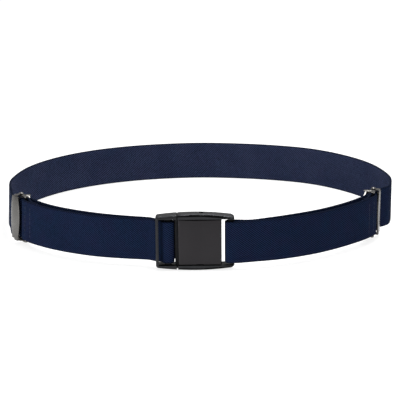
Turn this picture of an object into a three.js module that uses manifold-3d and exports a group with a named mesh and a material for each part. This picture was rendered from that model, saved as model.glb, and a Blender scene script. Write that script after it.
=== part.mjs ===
import * as THREE from "three";
import { mergeVertices } from "three/addons/utils/BufferGeometryUtils.js";
import Module from "manifold-3d";

// An elastic stretch belt, fastened and standing on its lower edge.
// One long strap runs from the sewn loop on the left adjuster, forward to the buckle,
// round the buckle's middle bar, back through the left adjuster, round the waist,
// through the right adjuster, round the buckle's right bar and back to the sewn loop
// on the right adjuster. Lengths are in millimetres, the front is at -Y and up is +Z.

const wasm = await Module();
wasm.setup();

// The fit that every piece keeps from its neighbour
const CLEARANCE = 0.3;

// The loop, measured on the middle line of the strap
const LOOP_WIDTH = 241.5;
const LOOP_DEPTH = 193.5;

// The strap
const STRAP_WIDTH = 25.4;
const STRAP_THICKNESS = 1.5;
const LAYER_SPACING = 4.8;
const TAIL_LENGTH = 12;
const STRAP_DROP = 0.3;
const STRAP_STEP = 2.5;

// The buckle, seen from the front: left half with its tongue, right half with its pocket
const BUCKLE_WIDTH = 46.3;
const RAIL_HEIGHT = 4.35;
const BUCKLE_HEIGHT = STRAP_WIDTH + 2 * RAIL_HEIGHT;
const BUCKLE_DEPTH = 7.6;
const BUCKLE_SHIFT = -3.2;
const BUCKLE_PROUD = 0.25;
const BUCKLE_ROUND = 1.2;
const RAIL_BOW = 1.3;
const LEFT_CORNER = 1.8;
const RIGHT_CORNER = 3.4;
const WINDOW_MARGIN = 1.4;
const SPLIT_GAP = 0.8;
const OUTER_BAR_WIDTH = 1.7;
const OUTER_BAR_DEPTH = 2.3;
const LEFT_WINDOW = 9.6;
const CROSS_BAR_WIDTH = 0.9;
const CROSS_BAR_LIP = 1.2;
const LIP_OVERHANG = 0.8;
const SHOULDER_LAP = 1;
const SHOULDER_INSET = 0.5;
const MIDDLE_BAR_WIDTH = 3.9;
const MIDDLE_BAR_THICKNESS = 2;
const MIDDLE_BAR_SET = 2.8;
const ENTRY_RUN = 4;
const ENTRY_DROP = 3.6;
const ENTRY_SAG = 0.7;
const ENTRY_TURN = 1.2;
const TONGUE_LENGTH = 19.5;
const TONGUE_SETBACK = 3;
const TONGUE_WIDTH = STRAP_WIDTH - TONGUE_SETBACK;
const TONGUE_THICKNESS = 2.4;
const FACE_PLATE_THICKNESS = 1.4;
const FACE_PLATE_SET = 0.5;
const FACE_PLATE_BOW = 0.45;
const HOUSING_WEB = 1;
const STRAP_SLOT = 1.8;
const RIGHT_BAR_WIDTH = 3.8;
const RIGHT_BAR_THICKNESS = 2.2;
const RIGHT_BAR_MARGIN = 0.5;
const NOTCH_RADIUS = 1.4;
const NOTCH_SINK = 1.8;

// The adjusters
const PLATE_OVERHANG = 0.7;
const PLATE_HEIGHT = STRAP_WIDTH + 2 * PLATE_OVERHANG;
const PLATE_WIDTH = 9.2;
const PLATE_END_WIDTH = 6.2;
const PLATE_CROWN_RADIUS = 30;
const SHEET = 1;
const EAR_WIDTH = 3.4;
const NECK_SHEET = 0.7;
const RIVET_RADIUS = 0.8;
const RIVET_HEAD_RADIUS = 1.4;
const RIVET_HEAD_HEIGHT = 0.7;
const RIVET_ALONG = 0.8;
const RIVET_INWARD = 1.7;
const END_BAR_RADIUS = 0.75;
const END_BAR_ALONG = 7.5;
const END_BAR_INWARD = 1;
const ARM_WIDTH = 2.2;
const SIDE_SHEET = 0.6;
const LEVER_LENGTH = 9.8;
const LEVER_SETBACK = 0.7;
const LEVER_WIDTH = STRAP_WIDTH - 2 * LEVER_SETBACK;
const LEVER_CORNER = 1.5;
const LEVER_TAPER = 2.7;
const LEVER_SHOULDER = 1.4;
const LEVER_HEEL = 1.8;
const LEVER_LIP = 0.7;

// Where each adjuster sits on the loop: the turn and reach of its middle, the slant of
// its plate from the X axis, how far its lever stands off the plate, and how far its
// lower end leans outwards
const SIDES = {
  left: { sign: -1, turn: 200.6, reach: 1.026, slant: 51, leverRest: 1, lean: 3.2 },
  right: { sign: 1, turn: -18.8, reach: 0.974, slant: 75, leverRest: 9, lean: 0 },
};

// The left end of the loop leans with its adjuster. The lean grows between these shares
// of half the loop's width.
const LEAN_START = 0.3;
const LEAN_FULL = 0.76;

// The plan of the loop. turn is in degrees about its centre, from +X towards +Y, and
// reach is a share of the ellipse that LOOP_WIDTH and LOOP_DEPTH make at that turn.
const BACK_PLAN = [
  { turn: 192, reach: 1.013 },
  { turn: 188, reach: 1.009 },
  { turn: 180, reach: 1.0 },
  { turn: 165, reach: 0.988 },
  { turn: 150, reach: 0.988 },
  { turn: 135, reach: 0.993 },
  { turn: 120, reach: 0.996 },
  { turn: 105, reach: 0.997 },
  { turn: 90, reach: 1.0 },
  { turn: 75, reach: 0.994 },
  { turn: 60, reach: 0.997 },
  { turn: 45, reach: 1.004 },
  { turn: 30, reach: 0.99 },
  { turn: 15, reach: 0.986 },
  { turn: 0, reach: 0.998 },
  { turn: -7, reach: 1.002 },
  { turn: -12, reach: 1.0 },
];

// The outer layer of the front, from each adjuster towards the buckle
const FRONT_PLAN = {
  left: [
    { turn: 207.8, reach: 1.026 },
    { turn: 215.2, reach: 1.016 },
    { turn: 223.6, reach: 1.002 },
    { turn: 233.1, reach: 0.987 },
    { turn: 242.2, reach: 0.966 },
    { turn: 248.5, reach: 0.954 },
  ],
  right: [
    { turn: -28.5, reach: 0.998 },
    { turn: -38.6, reach: 0.995 },
    { turn: -50, reach: 1.002 },
    { turn: -63, reach: 1.006 },
    { turn: -72.3, reach: 1.003 },
  ],
};

// How far the inner layer hangs behind the outer one. run is the share of the front from
// the adjuster to the buckle, and spread is a share of LAYER_SPACING.
const LAYER_SPREAD = {
  left: [
    { run: 0.1, spread: 1.1 },
    { run: 0.25, spread: 1.0 },
    { run: 0.45, spread: 1.0 },
    { run: 0.65, spread: 0.95 },
    { run: 0.8, spread: 0.78 },
    { run: 0.92, spread: 0.6 },
  ],
  right: [
    { run: 0.1, spread: 1.12 },
    { run: 0.25, spread: 1.03 },
    { run: 0.45, spread: 1.0 },
    { run: 0.65, spread: 0.95 },
    { run: 0.79, spread: 0.72 },
    { run: 0.9, spread: 0.43 },
  ],
};

// Levels and places that follow from the sizes above
const halfStrap = STRAP_THICKNESS / 2;
const layerPitch = STRAP_THICKNESS + CLEARANCE;
const strapLift = (BUCKLE_HEIGHT - STRAP_WIDTH) / 2 - STRAP_DROP;
const buckleLeft = BUCKLE_SHIFT - BUCKLE_WIDTH / 2;
const buckleFront = -LOOP_DEPTH / 2 - BUCKLE_PROUD;
const windowHalf = STRAP_WIDTH / 2 + WINDOW_MARGIN;
const flangeFloor = STRAP_WIDTH / 2 + CLEARANCE;
const flangeRoof = flangeFloor + SIDE_SHEET;
const earFloor = flangeRoof + CLEARANCE;
const earRoof = earFloor + SIDE_SHEET;
const eyeOutside = END_BAR_RADIUS + CLEARANCE + STRAP_THICKNESS;

const radians = THREE.MathUtils.degToRad;

function planPoint({ turn, reach }) {
  const across = Math.cos(radians(turn)) / (LOOP_WIDTH / 2);
  const deep = Math.sin(radians(turn)) / (LOOP_DEPTH / 2);
  const radius = reach / Math.hypot(across, deep);
  return new THREE.Vector2(radius * Math.cos(radians(turn)), radius * Math.sin(radians(turn)));
}

// The strap's lower edge touches the ground at the back and climbs towards the buckle,
// whose rails are taller than the strap is wide.
function lift(y) {
  const back = LOOP_DEPTH / 2;
  const share = THREE.MathUtils.clamp((y - buckleFront) / (back - buckleFront), 0, 1);
  return strapLift * (1 - share * share);
}

// The places of one adjuster: s runs along its plate towards the buckle, n outwards.
function adjusterPlace(side) {
  const slant = radians(side.slant);
  const middle = planPoint(side);
  const along = new THREE.Vector2(-side.sign * Math.cos(slant), -Math.sin(slant));
  const out = new THREE.Vector2(side.sign * Math.sin(slant), -Math.cos(slant));
  const at = (s, n) => middle.clone().addScaledVector(along, s).addScaledVector(out, n);
  return { middle, along, out, at };
}

// How far the strap moves out for each millimetre below its middle line
function leanAt(x) {
  const side = x < 0 ? SIDES.left : SIDES.right;
  const reach = Math.abs(x) / (LOOP_WIDTH / 2);
  const share = THREE.MathUtils.smoothstep(reach, LEAN_START, LEAN_FULL);
  return adjusterPlace(side).out.multiplyScalar(Math.tan(radians(side.lean)) * share);
}

// A point on the buckle: u from its left edge, deep from its front plane.
function bucklePoint(u, deep) {
  return new THREE.Vector2(buckleLeft + u, buckleFront + deep);
}

// Points on a round bend between two directions, given in degrees, the long way allowed.
function bend(centre, radius, from, to) {
  const count = Math.max(2, Math.ceil(Math.abs(to - from) / 30));
  const points = [];
  for (let i = 0; i <= count; i += 1) {
    const angle = radians(from + ((to - from) * i) / count);
    points.push(new THREE.Vector2(
      centre.x + radius * Math.cos(angle),
      centre.y + radius * Math.sin(angle),
    ));
  }
  return points;
}

function smoothLine(points) {
  const flat = points.map((point) => new THREE.Vector3(point.x, point.y, 0));
  return new THREE.CatmullRomCurve3(flat, false, "centripetal");
}

// The line through the points, with more steps where the points lie far apart
function sampled(points, step) {
  const curve = smoothLine(points);
  const last = points.length - 1;
  const line = [];
  for (let i = 0; i < last; i += 1) {
    const pieces = Math.max(1, Math.round(points[i].distanceTo(points[i + 1]) / step));
    for (let k = 0; k < pieces; k += 1) {
      const point = curve.getPoint((i + k / pieces) / last);
      line.push(new THREE.Vector2(point.x, point.y));
    }
  }
  line.push(points[last].clone());
  return line;
}

// The eye sewn round the end bar: it leaves the outer layer, goes round behind the bar and
// comes back under the outer layer as the tail.
function endEye(name) {
  const side = SIDES[name];
  const place = adjusterPlace(side);
  const bar = place.at(END_BAR_ALONG, -END_BAR_INWARD);
  const radius = END_BAR_RADIUS + CLEARANCE + halfStrap;
  const next = planPoint(FRONT_PLAN[name][0]);
  const sight = Math.atan2(next.y - bar.y, next.x - bar.x);
  const lean = Math.acos(radius / bar.distanceTo(next));
  const leave = THREE.MathUtils.radToDeg(sight + side.sign * lean);
  return bend(bar, radius, leave, leave + side.sign * 190);
}

// The outer layer of one side of the front, from the end bar to the buckle
function outerLayer(name) {
  const eye = endEye(name);
  const entry = name === "left" ? leftEntry() : rightWrap().slice(-2).reverse();
  return [eye[0], ...FRONT_PLAN[name].map(planPoint), ...entry];
}

// The tail under the outer layer
function tail(name) {
  const side = SIDES[name];
  const curve = smoothLine(outerLayer(name));
  const length = curve.getLength();
  const runs = [0.55, 0.78, 1].map((share) => (share * TAIL_LENGTH) / length);
  return runs.map((run) => behind(curve, run, layerPitch, side.sign));
}

// A point set back from a layer towards the inside of the loop
function behind(curve, run, distance, sign) {
  const point = curve.getPointAt(run);
  const tangent = curve.getTangentAt(run);
  return new THREE.Vector2(
    point.x + sign * tangent.y * distance,
    point.y - sign * tangent.x * distance,
  );
}

function innerLayer(name) {
  const curve = smoothLine(outerLayer(name));
  return LAYER_SPREAD[name].map(
    ({ run, spread }) => behind(curve, run, spread * LAYER_SPACING, SIDES[name].sign),
  );
}

// The way through an adjuster, from its back to its front: straight under the plate, then
// inwards round the sewn eye
function throughAdjuster(name) {
  const place = adjusterPlace(SIDES[name]);
  const drop = END_BAR_INWARD + eyeOutside + CLEARANCE + halfStrap;
  const start = RIVET_ALONG;
  const stop = END_BAR_ALONG - 0.4;
  const points = [place.at(-PLATE_WIDTH * 0.62, 0), place.at(-PLATE_WIDTH / 4, 0)];
  for (let i = 0; i <= 6; i += 1) {
    const share = i / 6;
    const ease = share * share * (3 - 2 * share);
    points.push(place.at(start + share * (stop - start), -drop * ease));
  }
  return points;
}

// Round the middle bar of the left half, from the way in behind the outer bar
const middleBarLeft = OUTER_BAR_WIDTH + LEFT_WINDOW - CLEARANCE * 2 - STRAP_THICKNESS
  - MIDDLE_BAR_WIDTH - 0.1;
const middleBarDeep = MIDDLE_BAR_SET + MIDDLE_BAR_THICKNESS / 2;
const middleBarWrap = MIDDLE_BAR_THICKNESS / 2 + CLEARANCE + halfStrap;

function leftEntry() {
  const below = OUTER_BAR_DEPTH + CLEARANCE * 2 + STRAP_THICKNESS;
  return [
    bucklePoint(-ENTRY_RUN, below + ENTRY_DROP),
    bucklePoint(OUTER_BAR_WIDTH / 2, below + ENTRY_SAG),
    bucklePoint(OUTER_BAR_WIDTH + ENTRY_TURN, below + CLEARANCE),
  ];
}

function leftWrap() {
  const round = MIDDLE_BAR_THICKNESS / 2;
  const first = bucklePoint(middleBarLeft + round, middleBarDeep);
  const second = bucklePoint(middleBarLeft + MIDDLE_BAR_WIDTH - round, middleBarDeep);
  const behindBar = middleBarDeep + middleBarWrap;
  return [
    ...bend(first, middleBarWrap, -165, -90),
    ...bend(second, middleBarWrap, -90, 90),
    bucklePoint(middleBarLeft + round, behindBar + 0.1),
    bucklePoint(OUTER_BAR_WIDTH, behindBar + 1.3),
    bucklePoint(-0.6, behindBar + 3.2),
  ];
}

// Round the right bar, from its back to its front
const rightBarRight = BUCKLE_WIDTH - RIGHT_BAR_MARGIN;
const rightBarLeft = rightBarRight - RIGHT_BAR_WIDTH;
const rightBarWrap = RIGHT_BAR_THICKNESS / 2 + CLEARANCE + halfStrap;
const rightBarDeep = BUCKLE_PROUD + halfStrap + rightBarWrap;

function rightWrap() {
  const round = RIGHT_BAR_THICKNESS / 2;
  const centre = bucklePoint(rightBarLeft + round, rightBarDeep);
  return [
    bucklePoint(rightBarRight + 0.8, rightBarDeep + rightBarWrap - 0.05),
    ...bend(centre, rightBarWrap, 90, 270),
    bucklePoint(rightBarRight - 0.6, rightBarDeep - rightBarWrap),
    bucklePoint(rightBarRight + 2, rightBarDeep - rightBarWrap + 0.1),
  ];
}

// The whole strap as one line, from one sewn tail to the other
function strapLine() {
  const left = [
    ...tail("left").reverse(),
    ...endEye("left").reverse(),
    ...FRONT_PLAN.left.map(planPoint),
    ...leftEntry(),
    ...leftWrap(),
    ...innerLayer("left").reverse(),
    ...throughAdjuster("left").reverse(),
  ];
  const right = [
    ...throughAdjuster("right"),
    ...innerLayer("right"),
    ...rightWrap(),
    ...FRONT_PLAN.right.map(planPoint).reverse(),
    ...endEye("right"),
    ...tail("right"),
  ];
  return sampled([...left, ...BACK_PLAN.map(planPoint), ...right], STRAP_STEP);
}

function ribbonOutline(line, thickness) {
  const one = [];
  const other = [];
  line.forEach((point, i) => {
    const before = line[Math.max(0, i - 1)];
    const after = line[Math.min(line.length - 1, i + 1)];
    const way = after.clone().sub(before).normalize();
    const side = new THREE.Vector2(-way.y, way.x).multiplyScalar(thickness / 2);
    one.push(point.clone().add(side));
    other.push(point.clone().sub(side));
  });
  return new THREE.Shape([...one, ...other.reverse()]);
}

// Solids: a three.js geometry as a closed solid, and back again
function solid(geometry) {
  geometry.deleteAttribute("normal");
  geometry.deleteAttribute("uv");
  const merged = mergeVertices(geometry, 1e-5);
  return new wasm.Manifold(new wasm.Mesh({
    numProp: 3,
    vertProperties: new Float32Array(merged.attributes.position.array),
    triVerts: new Uint32Array(merged.index.array),
  }));
}

function geometryOf(body) {
  const mesh = body.getMesh();
  const geometry = new THREE.BufferGeometry();
  geometry.setAttribute("position", new THREE.BufferAttribute(mesh.vertProperties, 3));
  geometry.setIndex(new THREE.BufferAttribute(mesh.triVerts, 1));
  return geometry;
}

function joined(bodies) {
  return bodies.reduce((sum, body) => sum.add(body));
}

function block(x0, x1, y0, y1, z0, z1) {
  const geometry = new THREE.BoxGeometry(x1 - x0, y1 - y0, z1 - z0);
  geometry.translate((x0 + x1) / 2, (y0 + y1) / 2, (z0 + z1) / 2);
  return solid(geometry);
}

// An outline in X and Y, raised from z0 to z1
function raised(shape, z0, z1, curveSegments = 12) {
  const geometry = new THREE.ExtrudeGeometry(shape, {
    depth: z1 - z0,
    bevelEnabled: false,
    curveSegments,
  });
  geometry.translate(0, 0, z0);
  return solid(geometry);
}

// An outline in X and Z, pushed back from y0 to y1, with rounded front and back edges
function pushed(shape, y0, y1, round = 0, bevelSegments = 1, curveSegments = 12) {
  const geometry = new THREE.ExtrudeGeometry(shape, {
    depth: y1 - y0 - 2 * round,
    bevelEnabled: round > 0,
    bevelSize: round,
    bevelThickness: round,
    bevelOffset: -round,
    bevelSegments,
    curveSegments,
  });
  geometry.rotateX(Math.PI / 2);
  geometry.translate(0, y1 - round, 0);
  return solid(geometry);
}

function post(x, y, z0, z1, radius, sides = 16) {
  const geometry = new THREE.CylinderGeometry(radius, radius, z1 - z0, sides);
  geometry.rotateX(Math.PI / 2);
  geometry.translate(x, y, (z0 + z1) / 2);
  return solid(geometry);
}

// A flat bar with round ends between two places
function capsule(a, b, radius, z0, z1) {
  const way = Math.atan2(b.y - a.y, b.x - a.x);
  const shape = new THREE.Shape();
  shape.absarc(a.x, a.y, radius, way + Math.PI / 2, way + 1.5 * Math.PI, false);
  shape.absarc(b.x, b.y, radius, way - Math.PI / 2, way + Math.PI / 2, false);
  shape.closePath();
  return raised(shape, z0, z1, 6);
}

function makeStrap() {
  const geometry = new THREE.ExtrudeGeometry(ribbonOutline(strapLine(), STRAP_THICKNESS), {
    depth: STRAP_WIDTH,
    bevelEnabled: false,
  });
  const spot = geometry.attributes.position;
  for (let i = 0; i < spot.count; i += 1) {
    const lean = leanAt(spot.getX(i)).multiplyScalar(STRAP_WIDTH / 2 - spot.getZ(i));
    spot.setXYZ(
      i,
      spot.getX(i) + lean.x,
      spot.getY(i) + lean.y,
      spot.getZ(i) + lift(spot.getY(i)),
    );
  }
  return solid(geometry);
}

// The outline of the whole buckle: bowed rails and round corners, drawn inset from its rim
function buckleOutline(inset = 0) {
  const leftRound = LEFT_CORNER - inset;
  const rightRound = RIGHT_CORNER - inset;
  const left = LEFT_CORNER;
  const right = BUCKLE_WIDTH - RIGHT_CORNER;
  const middle = BUCKLE_WIDTH / 2;
  const end = BUCKLE_HEIGHT / 2 - RAIL_BOW - inset;
  const peak = end + 2 * RAIL_BOW;
  const shape = new THREE.Shape();
  shape.moveTo(left, -end);
  shape.quadraticCurveTo(middle, -peak, right, -end);
  shape.absarc(right, rightRound - end, rightRound, -Math.PI / 2, 0, false);
  shape.absarc(right, end - rightRound, rightRound, 0, Math.PI / 2, false);
  shape.quadraticCurveTo(middle, peak, left, end);
  shape.absarc(left, end - leftRound, leftRound, Math.PI / 2, Math.PI, false);
  shape.absarc(left, leftRound - end, leftRound, Math.PI, 1.5 * Math.PI, false);
  return shape;
}

// Levels in the buckle: the left half ends at splitLeft and the right half starts at
// splitRight, and the right half's walls follow one another from front to back.
const splitLeft = OUTER_BAR_WIDTH + LEFT_WINDOW + CROSS_BAR_WIDTH;
const splitRight = splitLeft + SPLIT_GAP;
const slotLeft = rightBarLeft - CLEARANCE - STRAP_THICKNESS - STRAP_SLOT;
const plateBack = FACE_PLATE_SET + FACE_PLATE_THICKNESS;
const webFront = plateBack + CLEARANCE;
const pocketFront = webFront + HOUSING_WEB;
const tongueFront = pocketFront + CLEARANCE;
const tongueBack = tongueFront + TONGUE_THICKNESS;
const pocketBack = tongueBack + CLEARANCE;
const overall = BUCKLE_HEIGHT;

// The left half's shoulder reaches behind the split into a rebate of the right half, and
// the cross bar stands as deep as the shoulder, in a groove beside the face plate.
const shoulderFront = webFront;
const shoulderBack = BUCKLE_DEPTH - SHOULDER_INSET;
const shoulderEnd = splitRight + SHOULDER_LAP;

function shoulderBlock(spare) {
  return pushed(buckleOutline(SHOULDER_INSET - spare), shoulderFront - spare, shoulderBack + spare)
    .intersect(block(
      splitLeft - CROSS_BAR_WIDTH / 2, shoulderEnd + spare, -1, overall, -overall, overall,
    ));
}

// A bar of the buckle with round long edges, seen end on, between the rails
function roundBar(left, width, deep, thickness) {
  const round = thickness / 2;
  const first = new THREE.Vector2(left + round, deep);
  const second = new THREE.Vector2(left + width - round, deep);
  return capsule(first, second, round, -windowHalf - 0.5, windowHalf + 0.5);
}

function makeTongueFrame() {
  const body = pushed(buckleOutline(), 0, BUCKLE_DEPTH, BUCKLE_ROUND, 3);
  const crossBarLeft = splitLeft - CROSS_BAR_WIDTH;
  const window = block(
    OUTER_BAR_WIDTH, crossBarLeft, -1, overall, -windowHalf, windowHalf,
  );
  const passage = block(
    -1, OUTER_BAR_WIDTH + 1, OUTER_BAR_DEPTH, overall, -windowHalf, windowHalf,
  );
  const keep = block(-1, splitLeft, -1, overall, -overall, overall);
  const tongue = block(
    splitLeft - 0.5, splitLeft + TONGUE_LENGTH, tongueFront, tongueBack,
    -TONGUE_WIDTH / 2, TONGUE_WIDTH / 2,
  );
  const bar = roundBar(middleBarLeft, MIDDLE_BAR_WIDTH, middleBarDeep, MIDDLE_BAR_THICKNESS);
  const lipFront = middleBarDeep + middleBarWrap + halfStrap + CLEARANCE;
  const lip = block(
    crossBarLeft - CROSS_BAR_LIP, crossBarLeft + 0.5, lipFront, BUCKLE_DEPTH,
    -TONGUE_WIDTH / 2 - LIP_OVERHANG, TONGUE_WIDTH / 2 + LIP_OVERHANG,
  );
  const groove = block(
    crossBarLeft - 0.5, splitLeft + 1, -1, shoulderFront, -windowHalf, windowHalf,
  );
  const rim = [window, passage, groove].reduce(
    (rest, cut) => rest.subtract(cut), body.intersect(keep),
  );
  return joined([rim, shoulderBlock(0), tongue, bar, lip]);
}

function makeHousingFrame() {
  const body = pushed(buckleOutline(), 0, BUCKLE_DEPTH, BUCKLE_ROUND, 3);
  const keep = block(splitRight, BUCKLE_WIDTH + 1, -1, overall, -overall, overall);
  const recess = block(splitRight - 1, slotLeft + 1, -1, webFront, -windowHalf, windowHalf);
  const pocket = block(
    splitRight - 1, splitLeft + TONGUE_LENGTH + CLEARANCE * 2, pocketFront, pocketBack,
    -TONGUE_WIDTH / 2 - CLEARANCE, TONGUE_WIDTH / 2 + CLEARANCE,
  );
  const slot = block(slotLeft, BUCKLE_WIDTH + 1, -1, overall, -windowHalf, windowHalf);
  const top = BUCKLE_HEIGHT / 2;
  const notch = post(
    BUCKLE_WIDTH * 0.575, BUCKLE_DEPTH * 0.66, top - NOTCH_SINK, top + 1, NOTCH_RADIUS,
  );
  const bar = roundBar(rightBarLeft, RIGHT_BAR_WIDTH, rightBarDeep, RIGHT_BAR_THICKNESS);
  const shell = [recess, pocket, slot, notch, shoulderBlock(CLEARANCE)].reduce(
    (rest, cut) => rest.subtract(cut), body.intersect(keep),
  );
  return shell.add(bar);
}

// The inset face plate: its upper edge dips and its lower edge has a short pry slit.
function makeFacePlate() {
  const left = splitRight + CLEARANCE;
  const right = slotLeft - CLEARANCE;
  const half = windowHalf - CLEARANCE;
  const middle = (left + right) / 2;
  const shape = new THREE.Shape();
  shape.moveTo(left, -half);
  shape.lineTo(right, -half);
  shape.lineTo(right, half);
  shape.quadraticCurveTo(middle, half - 2 * FACE_PLATE_BOW, left, half);
  const plate = pushed(shape, FACE_PLATE_SET, plateBack, 0.35);
  const slit = block(middle - 2.3, middle + 2.3, 0, plateBack + 1, -half - 1, -half + 0.45);
  return plate.subtract(slit);
}

// The adjuster, in its own frame: s is X, n is Y and Z is up, with the through strap's
// middle line on the X axis.
function barrelOutline() {
  const half = PLATE_HEIGHT / 2;
  const end = PLATE_END_WIDTH / 2;
  const bulge = PLATE_WIDTH - end;
  const shape = new THREE.Shape();
  shape.moveTo(-end, -half);
  shape.lineTo(end, -half);
  shape.quadraticCurveTo(bulge, 0, end, half);
  shape.lineTo(-end, half);
  shape.quadraticCurveTo(-bulge, 0, -end, -half);
  return shape;
}

// The inner face of the crowned plate clears the strap at the plate's two long edges.
const plateSag = PLATE_CROWN_RADIUS - Math.sqrt(PLATE_CROWN_RADIUS ** 2 - PLATE_WIDTH ** 2 / 4);
const plateInner = halfStrap + CLEARANCE + plateSag;
const plateOuter = plateInner + SHEET;

function crownedSheet() {
  const centre = plateInner - PLATE_CROWN_RADIUS;
  const inner = PLATE_CROWN_RADIUS;
  const outer = PLATE_CROWN_RADIUS + SHEET;
  const half = Math.asin((PLATE_WIDTH / 2 + 1) / inner);
  const shape = new THREE.Shape();
  shape.absarc(0, centre, inner, Math.PI / 2 + half, Math.PI / 2 - half, true);
  shape.absarc(0, centre, outer, Math.PI / 2 - half, Math.PI / 2 + half, false);
  return raised(shape, -PLATE_HEIGHT / 2, PLATE_HEIGHT / 2, 8);
}

function makeAdjusterFrame() {
  const plate = crownedSheet().intersect(
    pushed(barrelOutline(), halfStrap, plateOuter + 1),
  );
  const rivet = new THREE.Vector2(RIVET_ALONG, -RIVET_INWARD);
  const bar = new THREE.Vector2(END_BAR_ALONG, -END_BAR_INWARD);
  const near = rivet.x - EAR_WIDTH / 2;
  const far = rivet.x + EAR_WIDTH / 2;
  const neckOuter = plateInner + NECK_SHEET;
  const ends = [-1, 1].map((up) => {
    const level = (a, b) => (up > 0 ? [a, b] : [-b, -a]);
    const neck = block(
      near, far, plateInner, neckOuter, ...level(PLATE_HEIGHT / 2 - 1, earRoof),
    );
    const ear = block(near, far, rivet.y, neckOuter, ...level(earFloor, earRoof));
    const boss = post(rivet.x, rivet.y, ...level(earFloor, earRoof), EAR_WIDTH / 2, 20);
    const arm = capsule(rivet, bar, ARM_WIDTH / 2, ...level(earFloor, earRoof));
    const drill = post(
      rivet.x, rivet.y, ...level(earFloor - 1, earRoof + 1), RIVET_RADIUS + CLEARANCE,
    );
    return joined([neck, ear, boss, arm]).subtract(drill);
  });
  const rod = post(bar.x, bar.y, -earRoof + 0.1, earRoof - 0.1, END_BAR_RADIUS, 16);
  return joined([plate, rod, ...ends]);
}

// A rivet: a stub through the lever's flange and the frame's ear, with a domed head above
// the ear and a flat foot under the flange
function makeRivet() {
  const outline = [
    new THREE.Vector2(0, flangeFloor + 0.1),
    new THREE.Vector2(RIVET_RADIUS, flangeFloor + 0.1),
    new THREE.Vector2(RIVET_RADIUS, earRoof + CLEARANCE),
    new THREE.Vector2(RIVET_HEAD_RADIUS, earRoof + CLEARANCE),
    new THREE.Vector2(RIVET_HEAD_RADIUS, earRoof + CLEARANCE + RIVET_HEAD_HEIGHT * 0.35),
    new THREE.Vector2(RIVET_HEAD_RADIUS * 0.75, earRoof + CLEARANCE + RIVET_HEAD_HEIGHT * 0.8),
    new THREE.Vector2(0, earRoof + CLEARANCE + RIVET_HEAD_HEIGHT),
  ];
  const geometry = new THREE.LatheGeometry(outline, 16);
  geometry.rotateX(Math.PI / 2);
  return solid(geometry);
}

// The lever's outline seen from outside the loop: as high as its flanges at the rivets,
// narrower than the strap along its handle, and narrower still towards its end
function leverOutline(deep) {
  const back = -EAR_WIDTH;
  const neck = LEVER_SHOULDER + LEVER_CORNER;
  const end = LEVER_LENGTH + LEVER_LIP;
  const half = LEVER_WIDTH / 2;
  const endHalf = half - LEVER_TAPER;
  const shape = new THREE.Shape();
  shape.moveTo(back, -flangeRoof);
  shape.lineTo(LEVER_SHOULDER, -flangeRoof);
  shape.lineTo(neck, -half);
  shape.lineTo(end - LEVER_CORNER, -endHalf);
  shape.lineTo(end, LEVER_CORNER - endHalf);
  shape.lineTo(end, endHalf - LEVER_CORNER);
  shape.lineTo(end - LEVER_CORNER, endHalf);
  shape.lineTo(neck, half);
  shape.lineTo(LEVER_SHOULDER, flangeRoof);
  shape.lineTo(back, flangeRoof);
  return pushed(shape, deep, PLATE_WIDTH);
}

// The lever, in the adjuster's frame but about its rivets: two flanges, a broad handle that
// lies along the strap, a rolled lip at its end and the web that grips the strap
function makeLever() {
  const strapInner = -(END_BAR_INWARD + eyeOutside + CLEARANCE + STRAP_THICKNESS);
  const handleDeep = strapInner - CLEARANCE - SHEET / 2 + RIVET_INWARD;
  const heel = new THREE.Vector2(LEVER_HEEL, handleDeep);
  const end = new THREE.Vector2(LEVER_LENGTH, handleDeep);
  const grip = new THREE.Vector2(0.1, RIVET_INWARD - halfStrap - CLEARANCE - SHEET / 2);
  const knee = new THREE.Vector2(LEVER_HEEL / 4, handleDeep * 0.72);
  const pivot = new THREE.Vector2(0, 0);
  const inside = STRAP_WIDTH / 2 - CLEARANCE;
  const handle = capsule(heel, end, SHEET / 2, -flangeRoof, flangeRoof);
  const lip = post(end.x, end.y - LEVER_LIP + SHEET / 2, -flangeRoof, flangeRoof, LEVER_LIP);
  const web = capsule(grip, knee, SHEET / 2, -inside, inside);
  const shin = capsule(knee, heel, SHEET / 2, -inside, inside);
  const flanges = [[flangeFloor, flangeRoof], [-flangeRoof, -flangeFloor]].map(([low, high]) => {
    const eye = capsule(pivot, heel, EAR_WIDTH / 2 - 0.3, low, high);
    return eye.subtract(post(0, 0, low - 1, high + 1, RIVET_RADIUS + CLEARANCE));
  });
  const blank = joined([handle, lip, web, shin, ...flanges]);
  return blank.intersect(leverOutline(handleDeep - 2 * LEVER_LIP));
}

// Finishes
const webbingNavy = { color: 0x1b2340, roughness: 0.9, metalness: 0 };
const mattBlack = { color: 0x2e2e30, roughness: 0.5, metalness: 0.6 };
const nickel = { color: 0xb9b7b2, roughness: 0.3, metalness: 1 };

function piece(name, body, finish) {
  const mesh = new THREE.Mesh(geometryOf(body), new THREE.MeshStandardMaterial(finish));
  mesh.name = name;
  return mesh;
}

function makeBuckle() {
  const group = new THREE.Group();
  group.add(piece("tongue_frame", makeTongueFrame(), mattBlack));
  group.add(piece("housing_frame", makeHousingFrame(), mattBlack));
  group.add(piece("face_plate", makeFacePlate(), mattBlack));
  group.position.set(buckleLeft, buckleFront, BUCKLE_HEIGHT / 2);
  return group;
}

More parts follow.
